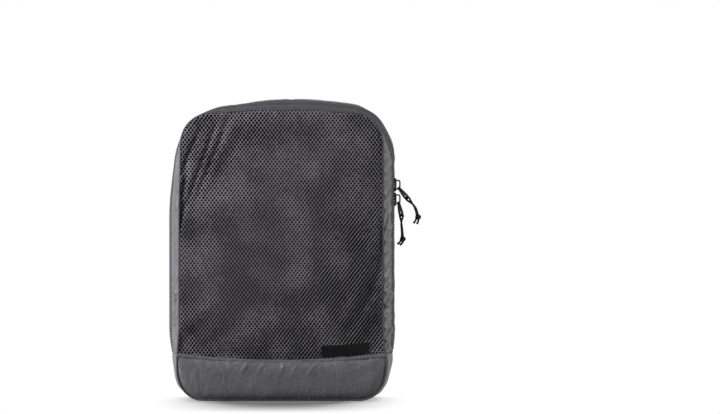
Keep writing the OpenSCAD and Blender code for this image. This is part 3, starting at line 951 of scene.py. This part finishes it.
def make_mesh_panel(front):
    """Knitted mesh: a lattice of threads, thick at their middles and thin at the holes."""
    outline = mesh_outline()
    corner_of, corners, holes, rings = {}, [], [], []
    for c, r, from_hem in lattice_cells(outline):
        keys = cell_corners(c, r)
        for key in keys:
            if key not in corner_of:
                corner_of[key] = len(corners)
                corners.append((key[0] * CELL_W / 2, key[1] * MM / 1000))
        rings.append(([corner_of[k] for k in keys], len(holes)))
        holes += cell_hole(c, r, from_hem)
    corners = np.array(corners)
    inside, _, nearest = inside_and_nearest(corners, outline)
    corners[~inside] = nearest[~inside]
    build_lattice(front, corners, np.array(holes), rings)


def build_lattice(front, corners, holes, rings):
    """Skins each cell from its corners, in front and behind, to the rim of its hole."""
    n = len(corners)
    flat = np.concatenate([corners, corners, holes])
    rise = np.concatenate([np.full(n, -THREAD_T), np.full(n, THREAD_T), np.zeros(len(holes))])
    ys = np.array([front.y(x, z) for x, z in np.concatenate([corners, holes])])
    ys = np.concatenate([ys[:n], ys[:n], ys[n:]])
    points = np.stack([flat[:, 0], ys + rise, flat[:, 1]], axis=-1)
    faces = []
    for ring, hole in rings:
        for k in range(6):
            m = (k + 1) % 6
            a, b = 2 * n + hole + k, 2 * n + hole + m
            faces.append((ring[k], a, b, ring[m]))
            faces.append((n + ring[m], b, a, n + ring[k]))
    faces += outer_walls(rings, n)
    panel = make_object("mesh_cloth", points, faces, flat, MESH)
    flip_if_inward(panel)
    # 1 on the threads' backs, 0 at the rims of the holes: where the mesh's colour is darkened as
    # painted shade
    back = panel.data.attributes.new("thread_back", "FLOAT", "POINT")
    back.data.foreach_set("value", [1.0] * (2 * n) + [0.0] * len(holes))
    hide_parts("mesh_panel")
    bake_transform(panel)


def outer_walls(rings, n):
    """Closes the lattice's outer edge between its front and its back."""
    uses = {}
    for ring, _ in rings:
        for k in range(6):
            pair = (ring[k], ring[(k + 1) % 6])
            if pair[::-1] in uses:
                del uses[pair[::-1]]
            else:
                uses[pair] = True
    return [(a, b, n + b, n + a) for a, b in uses]


def flip_if_inward(obj):
    """Turns a closed mesh's faces outwards if they point in."""
    volume = 0.0
    mesh = obj.data
    mesh.calc_loop_triangles()
    for tri in mesh.loop_triangles:
        a, b, c = (mesh.vertices[i].co for i in tri.vertices)
        volume += a.dot(b.cross(c))
    if volume < 0:
        mesh.flip_normals()


# ------------------------------------------------------------------ tubes, seams and stitches
def tube_grid(path, radius, sides, closed):
    """Rings of points round a path. radius may differ from point to point."""
    path = np.asarray(path, dtype=float)
    if closed:
        along = np.roll(path, -1, axis=0) - np.roll(path, 1, axis=0)
    else:
        along = np.gradient(path, axis=0)
    along /= np.linalg.norm(along, axis=1, keepdims=True)
    u = np.cross(along, [0.0, 1.0, 0.0])
    weak = np.linalg.norm(u, axis=1) < 0.2
    u[weak] = np.cross(along[weak], [0.0, 0.3, 1.0])
    u /= np.linalg.norm(u, axis=1, keepdims=True)
    v = np.cross(u, along)
    angles = np.linspace(0, 2 * math.pi, sides + 1)
    radius = np.broadcast_to(radius, len(path))[:, None, None]
    return path[:, None] + radius * (np.cos(angles)[None, :, None] * u[:, None]
                                     + np.sin(angles)[None, :, None] * v[:, None])


def tube_object(name, path, radius, sides, material, closed=False):
    """A round strand with capped or joined ends. Its cloth coordinates run along it."""
    grid = tube_grid(path, radius, sides, closed)
    rows = len(grid)
    points = grid[:, :-1].reshape(-1, 3)
    along = run_lengths(np.asarray(path))
    round_at = np.linspace(0, 2 * math.pi * float(np.max(radius)), sides, endpoint=False)
    uvs = [(along[i], round_at[j]) for i in range(rows) for j in range(sides)]
    faces = [(i * sides + j, i * sides + (j + 1) % sides,
              (i + 1) % rows * sides + (j + 1) % sides, (i + 1) % rows * sides + j)
             for i in range(rows if closed else rows - 1) for j in range(sides)]
    if not closed:
        faces += [tuple(reversed(range(sides))), tuple(range((rows - 1) * sides, rows * sides))]
    obj = make_object(name, points, faces, uvs, material)
    flip_if_inward(obj)
    return obj


PIPING_R = 0.8 * MM


def piping_path(stations, proud, side):
    """The middle of a piping, which stands proud of the front (-1) or the back (1) seam."""
    edge = on_side(stations, RIM_Y)
    r = PIPING_R
    y = np.full(len(edge), side * (RIM_Y + proud + r))
    return np.stack([edge[:, 0] - r * stations[:, 2], y, edge[:, 2] - r * stations[:, 3]], axis=-1)


def whole_outline(step):
    up = upper_path(SEAM_H, step)
    down = lower_path(SEAM_H, step)
    return np.concatenate([up, down[1:-1]])


def make_pipings():
    """Cord covered in binding, sewn into the front and the back seam."""
    ring = whole_outline(2.4 * MM)
    wobble = np.array([1 + 0.07 * noise.noise(Vector((x * 120, 0, z * 120)))
                       for x, z, _, _ in ring])
    back = tube_object("back_piping_binding", piping_path(ring, -0.45 * MM, 1),
                       PIPING_R * wobble, 10, BINDING, closed=True)
    dress(back, "tub", ["back_piping"])
    front = tube_object("front_piping_binding", piping_path(ring, -0.3 * MM, -1),
                        PIPING_R * wobble, 10, BINDING, closed=True)
    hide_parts("front_piping", "band_piping")
    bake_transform(front)


STITCH_SHARE = 0.72  # of the pitch, the rest is the gap between two stitches
STITCH_PLACES = (0, 0.25, 0.5, 0.75, 1)
STITCH_LIFTS = (-0.6, 0.35, 0.6, 0.35, -0.6)
STITCH_WIDTHS = (0.35, 0.95, 1.05, 0.95, 0.35)


def stitches(name, points, outwards, pitch, material, radius=0.26 * MM):
    """A row of stitches along a line: each a spindle that sinks into the cloth at its ends."""
    points, outwards = np.asarray(points, dtype=float), np.asarray(outwards, dtype=float)
    marks = run_lengths(points)
    count = max(1, int(marks[-1] / pitch))
    verts, faces, uvs = [], [], []
    for i in range(count):
        at = (np.array(STITCH_PLACES) * STITCH_SHARE + i) * marks[-1] / count
        spine = read_along(at, marks, points)
        out = read_along(at[2], marks, outwards)
        out /= np.linalg.norm(out)
        along = spine[-1] - spine[0]
        across = np.cross(along, out)
        across /= np.linalg.norm(across)
        base = len(verts)
        for k, (lift, width) in enumerate(zip(STITCH_LIFTS, STITCH_WIDTHS)):
            centre = spine[k] + out * lift * radius
            wide = radius * width
            for a in range(4):
                turn = math.pi / 4 + a * math.pi / 2
                verts.append(centre + wide * (math.cos(turn) * across + math.sin(turn) * out))
                uvs.append((at[k], a * radius))
        for k in range(4):
            for a in range(4):
                b = (a + 1) % 4
                faces.append((base + 4 * k + a, base + 4 * k + b,
                              base + 4 * k + 4 + b, base + 4 * k + 4 + a))
        faces += [(base + 3, base + 2, base + 1, base),
                  (base + 16, base + 17, base + 18, base + 19)]
    obj = make_object(name, verts, faces, uvs, material)
    flip_if_inward(obj)
    return obj


# ------------------------------------------------------------------ the zip
def zip_stations(step):
    return upper_path(FOLD_Z, step)


STITCH_ROWS = (2.4 * MM, 10.2 * MM)  # across a tape, from the slot


def make_zip():
    """Two woven tapes with the coil sewn behind them, and two stitch rows along each."""
    for side, name in ((-1, "front"), (1, "back")):
        stations = zip_stations(4 * MM)
        inner = zip_y(stations[:, 1]) + side * SLOT_W / 2 * 0.6
        outer = inner + side * TAPE_W * 1.02
        strip = strip_grid(stations, inner, outer, 6, 0.1 * MM)
        tape = grid_object(name + "_tape", strip, TAPE)
        co = coordinates(tape)
        lift = np.array([noise.noise(Vector((x * 40, y * 60, z * 28 + side))) for x, y, z in co])
        set_coordinates(tape, co + normals(tape) * (0.2 * MM * lift)[:, None])
        coil = make_coil(name + "_coil", side)
        rows = [stitch_row(name + f"_tape_stitches_{k}", side, across)
                for k, across in enumerate(STITCH_ROWS)]
        apply(tape, "SUBSURF", levels=1, render_levels=1)
        apply(tape, "SOLIDIFY", thickness=0.8 * MM, offset=-1)
        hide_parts(name + "_zip_tape")
        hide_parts(name + "_zip_teeth")
        for piece in (tape, coil, *rows):
            if side > 0:
                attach(piece, "tub")
            else:
                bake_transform(piece)


def stitch_row(name, side, across):
    stations = zip_stations(3 * MM)
    y = zip_y(stations[:, 1]) + side * (SLOT_W / 2 + across)
    line = on_side(stations, y, -0.15 * MM)
    out = np.stack([stations[:, 2], 0 * y, stations[:, 3]], axis=-1)
    return stitches(name, line, out, 3.0 * MM, THREAD)


COIL_PITCH = 2 * MM
COIL_W = 1.15 * MM
COIL_T = 0.62 * MM
COIL_UNDER = 1.75 * MM
POINTS_PER_TURN = 7


def make_coil(name, side):
    """A flat spring behind its tape, with one turn at every station."""
    stations = zip_stations(COIL_PITCH)
    turns = len(stations) - 1
    at = np.linspace(0, turns, turns * POINTS_PER_TURN + 1)
    fine = read_along(at, np.arange(len(stations)), stations)
    angle = at * 2 * math.pi
    y = zip_y(fine[:, 1]) + side * (SLOT_W * 0.35 + COIL_W + COIL_W * np.cos(angle))
    path = on_side(fine, y, COIL_UNDER)
    normal = np.stack([fine[:, 2], 0 * y, fine[:, 3]], axis=-1)
    path = path + normal * (COIL_T * np.sin(angle))[:, None]
    return tube_object(name, path, 0.32 * MM, 4, COIL)


# ------------------------------------------------------------------ the label
LABEL_H = 12 * MM
LABEL_LIFT = 2.5 * MM  # above the band's seam
LABEL_PROUD = 1.35 * MM  # of the mesh's middle


def make_label(front):
    """A bare woven label, sewn on above the band seam. It lies smoothly over the mesh."""
    low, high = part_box("label_patch")
    xs, vs = np.linspace(low.x, high.x, 40), np.linspace(0, 1, 10)
    columns = []
    for v in vs:
        zs = [seam_z(x) + LABEL_LIFT + v * LABEL_H for x in xs]
        curve = np.polyfit(xs, [front.y(x, z) for x, z in zip(xs, zs)], 3)
        columns.append(np.stack([xs, np.polyval(curve, xs) - LABEL_PROUD, zs], axis=-1))
    grid = np.stack(columns, axis=1)
    label = grid_object("woven_label", grid, LABEL)
    apply(label, "SOLIDIFY", thickness=0.55 * MM, offset=-1)
    apply(label, "BEVEL", width=0.18 * MM, segments=2, limit_method="ANGLE", angle_limit=0.9)
    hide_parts("label_patch")
    edge = np.concatenate([grid[1:-1, 1], grid[-2, 1:-1],
                           grid[1:-1, -2][::-1], grid[1, 1:-1][::-1]])
    rim = edge + np.array([0, -0.1 * MM, 0])
    sewn = stitches("label_stitches", rim, np.tile([0, -1.0, 0], (len(rim), 1)), 2.0 * MM, LABEL,
                    radius=0.14 * MM)
    for piece in (label, sewn):
        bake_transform(piece)


# ------------------------------------------------------------------ cords and knots
# Each route runs from one tail's end to the other, in mm from the bar of its pull loop.
UPPER_ROUTE = (
    (9.9, -3.4, -27.3), (11.4, -3.4, -23.9), (11.8, -3.4, -20.2), (10.7, -1.9, -15.8),
    (9.1, -0.95, -10.9), (6.7, -0.3, -7.3), (4.1, 0.3, -5.0), (1.6, 0.3, -3.2),
    (-0.5, 0.1, -1.85), (-1.7, 0, -0.7), (-1.7, 0, 0.7), (-0.6, 0, 1.7), (0.7, 0, 1.65),
    (1.9, -0.4, 0.5), (2.9, -1.1, -1.5), (4.2, -1.6, -3.9), (6.2, -2.2, -7.2),
    (8.1, -2.9, -11.3), (9.3, -3.6, -16.0), (9.4, -3.5, -20.2), (8.4, -3.8, -23.4),
    (6.4, -4.2, -26.3))
LOWER_ROUTE = (
    (-1.6, 4.2, -31.1), (1.2, 3.9, -28.4), (2.0, 3.6, -25), (1.5, 3.7, -19.8),
    (0.95, 2.95, -14.5), (0.3, 2.1, -9.5), (-0.5, 0.9, -5.0), (-1.2, 0.3, -2.4),
    (-1.75, 0, -0.5), (-1.45, 0, 1.0), (-0.3, 0, 1.72), (1.0, 0, 1.45), (1.75, 0, 0.3),
    (1.4, -0.3, -1.6), (0.6, -0.5, -3.6), (-0.1, -0.2, -6.2), (-0.3, 0.25, -9.5),
    (0.15, 1.05, -14.5), (0.3, 1.9, -19.8), (-0.3, 3.5, -25), (-1.9, 4.3, -28.0),
    (-4.4, 4.6, -30.1))
UPPER_KNOT = (10.6, -3.4, -20.2)
LOWER_KNOT = (0.9, 3.6, -25)
ROUTE_PARTS = 4
KNOT_R = 1.75 * MM


def smooth_route(points, bar):
    """The route through its points, rounded between them."""
    p = np.array(points) * MM + np.array(bar)
    ends = np.concatenate([[2 * p[0] - p[1]], p, [2 * p[-1] - p[-2]]])
    t = np.linspace(0, 1, ROUTE_PARTS, endpoint=False)[:, None]
    line = []
    for a, b, c, d in zip(ends, ends[1:], ends[2:], ends[3:]):
        line.append(0.5 * (2 * b + (c - a) * t + (2 * a - 5 * b + 4 * c - d) * t ** 2
                           + (3 * b - a - 3 * c + d) * t ** 3))
    return np.concatenate(line + [p[-1:]])


def make_cord(which, route, knot_at):
    """A pull cord folded round the bottom bar of its loop, tied, with two short tails."""
    bar = JOINTS[which + "_pull_swing"]["pos_m"]
    path = smooth_route(route, bar)
    radius = np.full(len(path), 1.1 * CORD_D / 2)
    radius[:3] *= (1.22, 1.2, 1.1)
    radius[-3:] *= (1.1, 1.2, 1.22)
    cord = tube_object(which + "_cord", path, radius, 12, CORD)
    knot = make_knot(which + "_knot", np.array(knot_at) * MM + np.array(bar))
    body = which + "_pull"
    dress(cord, body, [which + "_pull_cord"])
    dress(knot, body, [which + "_cord_knot"])


def make_knot(name, centre):
    """An overhand knot of both strands, drawn tight: three wraps and the part that binds them."""
    t = np.linspace(0, 1, 72)
    angle = 2 * math.pi * 3 * t
    r = KNOT_R * (1 + 0.06 * np.sin(3 * angle))
    wraps = np.stack([r * np.cos(angle), r * np.sin(angle),
                      (t - 0.5) * 3.6 * MM + 0.45 * MM * np.cos(angle)], axis=-1)
    s = np.linspace(0, 1, 14)[1:, None]
    top = wraps[-1]
    over = top + s * (wraps[0] - top)
    over[:, 0] += 1.15 * MM * np.sin(math.pi * s[:, 0])
    over[:, 1] -= 0.7 * MM * np.sin(math.pi * s[:, 0])
    return tube_object(name, np.concatenate([wraps, over[:-2]]) + centre, 0.92 * MM, 10, CORD)


# ------------------------------------------------------------------ sliders and loops
PLATE = (1.5 * MM, 8 * MM, 14.5 * MM)  # thickness, width and length
PLATE_T = PLATE[0]
PLATE_DROP = 4.6 * MM  # from the slider's highest point to its outer plate
NECK = (0.6 * MM, 3 * MM)  # width and length
BRIDGE = (5.1 * MM, 2.6 * MM, 11 * MM)  # height, width and length
BRIDGE_WALL = 1.6 * MM
WIRE_D = 1.65 * MM
LOOP_L = 15 * MM
LOOP_W = 6.8 * MM
RAIL_T = 2.3 * MM
LOOP_TURN = (math.radians(14), math.radians(40))


def block(centre, size):
    """A plain block, the start of a metal piece."""
    bpy.ops.object.select_all(action="DESELECT")
    bpy.ops.mesh.primitive_cube_add(size=1, location=centre)
    obj = bpy.context.object
    obj.scale = size
    bpy.ops.object.transform_apply(location=True, rotation=False, scale=True)
    return obj


def pick(obj, kind, test):
    """Opens the block for shaping and picks its faces or edges by their place."""
    bpy.context.view_layer.objects.active = obj
    bpy.ops.object.mode_set(mode="EDIT")
    bpy.ops.mesh.select_all(action="DESELECT")
    bpy.ops.mesh.select_mode(type=kind)
    mesh = bmesh.from_edit_mesh(obj.data)
    mesh.normal_update()
    for item in (mesh.faces if kind == "FACE" else mesh.edges):
        if test(item):
            item.select_set(True)
    bmesh.update_edit_mesh(obj.data)


def close_up():
    """Ends the shaping that pick began."""
    bpy.ops.object.mode_set(mode="OBJECT")


def runs_along(edge, axis):
    a, b = (v.co for v in edge.verts)
    return abs((b - a).normalized()[axis]) > 0.99


def cut_across(obj, z):
    """Cuts all of a block's faces at a height, so that it can turn along its length."""
    pick(obj, "FACE", lambda face: True)
    bpy.ops.mesh.bisect(plane_co=(0, 0, z), plane_no=(0, 0, 1))
    close_up()


def make_plate(centre, outwards):
    """One plate of a slider: its corners rounded, with a raised field on its outer face."""
    plate = block(centre, PLATE)
    pick(plate, "EDGE", lambda edge: runs_along(edge, 0))
    bpy.ops.mesh.bevel(offset=2.2 * MM, segments=4)
    close_up()
    pick(plate, "FACE", lambda face: face.normal.x * outwards > 0.9)
    bpy.ops.mesh.inset(thickness=1.1 * MM)
    bpy.ops.transform.translate(value=(0.35 * MM * outwards, 0, 0))
    close_up()
    return plate


def make_bridge(centre, foot):
    """The bow over the plate: a rounded block with a tunnel through it."""
    height, width, length = BRIDGE
    sunk = 0.8 * MM
    bridge = block((foot + (height - sunk) / 2, centre.y, centre.z), (height + sunk, width, length))
    pick(bridge, "EDGE",
         lambda edge: runs_along(edge, 1) and edge.verts[0].co.x > foot + height / 2)
    bpy.ops.mesh.bevel(offset=2.6 * MM, segments=6)
    close_up()
    pick(bridge, "FACE", lambda face: abs(face.normal.y) > 0.9)
    bpy.ops.mesh.inset(thickness=BRIDGE_WALL)
    bpy.ops.mesh.bridge_edge_loops()
    close_up()
    return bridge


def joined(name, pieces, edge, body, node):
    """One metal piece with softened edges, riding on its body in place of its node."""
    bpy.ops.object.select_all(action="DESELECT")
    for piece in pieces:
        apply(piece, "BEVEL", width=edge, segments=2, limit_method="ANGLE", angle_limit=0.6)
    for piece in pieces:
        piece.select_set(True)
    bpy.context.view_layer.objects.active = pieces[0]
    bpy.ops.object.join()
    whole = bpy.context.object
    whole.name = whole.data.name = name
    bpy.ops.object.shade_smooth_by_angle(angle=0.7)
    whole.data.materials.clear()
    whole.data.materials.append(ENAMEL)
    dress(whole, body, [node])


def make_slider(which):
    """Two plates with a neck between them at the nose, and the bridge on the outer one."""
    low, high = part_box(which + "_slider")
    middle = (low + high) / 2
    top = high.x - PLATE_DROP
    outer = make_plate((top - PLATE_T / 2, middle.y, middle.z), 1)
    inner = make_plate((low.x + PLATE_T / 2, middle.y, middle.z), -1)
    nose = 1 if which == "lower" else -1
    neck = block(((low.x + top) / 2, middle.y, middle.z + nose * (PLATE[2] - NECK[1]) / 2),
                 (top - low.x - PLATE_T, *NECK))
    joined(which + "_slider_body", [outer, inner, neck, make_bridge(middle, top)], 0.25 * MM,
           which + "_slider", which + "_slider")


def make_pull_loop(which):
    """A bent wire frame, a little turned in the slider's bow, thicker along its rails."""
    pivot = Vector(JOINTS[which + "_loop_swing"]["pos_m"])
    end = Vector(JOINTS[which + "_pull_swing"]["pos_m"])
    loop = block((0, 0, -LOOP_L / 2), (WIRE_D, LOOP_W, LOOP_L + WIRE_D))
    for z in (-1.4 * MM, -3.4 * MM, -LOOP_L / 2, 3.4 * MM - LOOP_L, 1.4 * MM - LOOP_L):
        cut_across(loop, z)
    pick(loop, "FACE", lambda face: abs(face.normal.x) > 0.9)
    bpy.ops.mesh.inset(thickness=WIRE_D)
    bpy.ops.mesh.bridge_edge_loops()
    close_up()
    turn_rails(loop)
    loop.rotation_euler = (0, math.atan2(pivot.x - end.x, pivot.z - end.z), 0)
    loop.location = pivot
    bpy.ops.object.transform_apply(location=True, rotation=True, scale=True)
    joined(which + "_pull_frame", [loop], 0.42 * MM, which + "_loop", which + "_pull_loop")


def turn_rails(loop):
    """Draws the rails out to their thickness and turns the frame along its length."""
    start, end = LOOP_TURN
    for vertex in loop.data.vertices:
        x, y, z = vertex.co
        if abs(z + LOOP_L / 2) < LOOP_L / 2 - 3 * MM:
            x *= RAIL_T / WIRE_D
            y *= 0.86 if abs(y) < 2.2 * MM else 1.04
        angle = start + (end - start) * float(smooth(-z / LOOP_L))
        vertex.co.x = x * math.cos(angle) - y * math.sin(angle)
        vertex.co.y = x * math.sin(angle) + y * math.cos(angle)


# ------------------------------------------------------------------ floor and light
FLOOR_GAIN = 1.25  # the floor's white where it is seen
FLOOR_BOUNCE = 0.25  # and as it throws light back at the cube
SHADOW_ENDS = (0.065, 0.135)  # the shadow fades out between these distances
STUDIO_LEVEL = 0.18  # the plain light from all round


def make_floor():
    """A white floor that keeps the cube's shadow near it and is plain white further off."""
    mat = bpy.data.materials.new("floor")
    mat.use_nodes = True
    mat.node_tree.nodes.clear()
    unseen = add_node(mat, "ShaderNodeBsdfDiffuse", Color=(*[FLOOR_BOUNCE] * 3, 1))
    shown = add_node(mat, "ShaderNodeBsdfDiffuse", Color=(*[FLOOR_GAIN] * 3, 1))
    glow = add_node(mat, "ShaderNodeEmission", Strength=1.0)
    squeezed = add_node(mat, "ShaderNodeMapping", Scale=(1, 0.45, 1))
    join(mat, object_place(mat), squeezed.inputs["Vector"])
    length = add_node(mat, "ShaderNodeVectorMath", operation="LENGTH")
    join(mat, squeezed.outputs["Vector"], length.inputs[0])
    far = mapped(mat, length.outputs["Value"], From_Min=SHADOW_ENDS[0], From_Max=SHADOW_ENDS[1])
    seen = blended_shaders(mat, far, shown, glow)
    whole = blended_shaders(mat, seen_rays(mat), unseen, seen)
    out = add_node(mat, "ShaderNodeOutputMaterial")
    join(mat, whole.outputs[0], out.inputs["Surface"])
    bpy.ops.mesh.primitive_circle_add(vertices=64, radius=6, fill_type="NGON")
    floor = bpy.context.object
    floor.name = "floor"
    floor.data.materials.append(mat)


def blended_shaders(mat, share, first, second):
    both = add_node(mat, "ShaderNodeMixShader")
    join(mat, share, both.inputs[0])
    join(mat, first.outputs[0], both.inputs[1])
    join(mat, second.outputs[0], both.inputs[2])
    return both


def seen_rays(mat):
    """1 for rays from the camera and for what gloss or glass shows, 0 for plain light. It
    takes a material or the world."""
    rays = add_node(mat, "ShaderNodeLightPath").outputs
    seen = math_of(mat, "MAXIMUM", rays["Is Camera Ray"], rays["Is Glossy Ray"])
    return math_of(mat, "MAXIMUM", seen, rays["Is Transmission Ray"])


def make_world():
    """White behind everything that is seen, and a low plain light on the cube."""
    world = bpy.data.worlds.new("studio")
    world.use_nodes = True
    back = world.node_tree.nodes["Background"]
    back.inputs["Color"].default_value = (1, 1, 1, 1)
    level = mapped(world, seen_rays(world), To_Min=STUDIO_LEVEL, To_Max=1.0)
    join(world, level, back.inputs["Strength"])
    bpy.context.scene.world = world


def make_lamp(name, place, size, power, aim=(0, 0, 0.16)):
    """A flat lamp, aimed at the middle of the cube unless another place is given."""
    data = bpy.data.lights.new(name, "AREA")
    data.shape = "RECTANGLE"
    data.size, data.size_y = size
    data.energy = power
    lamp = bpy.data.objects.new(name, data)
    lamp.location = place
    lamp.rotation_euler = (Vector(aim) - Vector(place)).to_track_quat("-Z", "Y").to_euler()
    bpy.context.scene.collection.objects.link(lamp)


def make_lights():
    """Soft boxes for the cube, and a long lamp above and behind it only for the floor."""
    floor = bpy.data.objects["floor"]
    make_lamp("left_box", place=(-1.45, -0.42, 0.55), size=(0.5, 1.2), power=40)
    make_lamp("right_box", place=(1.25, -0.45, 0.75), size=(0.45, 0.6), power=14.5)
    make_lamp("front_fill", place=(-1.6, -1.0, 1.0), size=(0.5, 0.5), power=10)
    for name in ("left_box", "right_box", "front_fill"):
        light_for(bpy.data.objects[name], [floor], "EXCLUDE")
    make_lamp("floor_lamp", place=(0.0, 0.8, 1.85), size=(3.0, 0.3), power=44, aim=(0, -0.1, 0))
    light_for(bpy.data.objects["floor_lamp"], [floor], "INCLUDE")


def light_back():
    """A soft box behind the cube, only for the back panel and its piping."""
    make_lamp("back_box", place=(0.9, 1.3, 0.9), size=(0.6, 0.8), power=20)
    pieces = [bpy.data.objects[name] for name in ("back_cloth", "back_piping_binding")]
    light_for(bpy.data.objects["back_box"], pieces, "INCLUDE")


def light_for(lamp, pieces, state):
    """Keeps a lamp to some pieces, or off them."""
    lit = bpy.data.collections.new(lamp.name + "_on")
    lamp.light_linking.receiver_collection = lit
    for piece in pieces:
        lit.objects.link(piece)
    for linked in lit.collection_objects:
        linked.light_linking.link_state = state


# ------------------------------------------------------------------ the whole cube
bpy.context.scene.view_settings.view_transform = "Standard"
bpy.ops.object.select_all(action="DESELECT")
make_camera()
make_cord("upper", UPPER_ROUTE, UPPER_KNOT)
make_cord("lower", LOWER_ROUTE, LOWER_KNOT)
make_world()
make_floor()
make_lights()
make_back_panel()
make_back_gusset()
make_bottom_gusset()
make_turned_ends()
make_front_band()
make_band_fold()
make_front_gusset(-1, "front_gusset_left")
make_front_gusset(1, "front_gusset_right")
mesh_sheet = settled_mesh_sheet()
mesh_front = Front(mesh_sheet)
bpy.data.objects.remove(mesh_sheet)
make_mesh_panel(mesh_front)
make_label(mesh_front)
make_zip()
make_pipings()
for which in ("upper", "lower"):
    make_slider(which)
    make_pull_loop(which)
light_back()
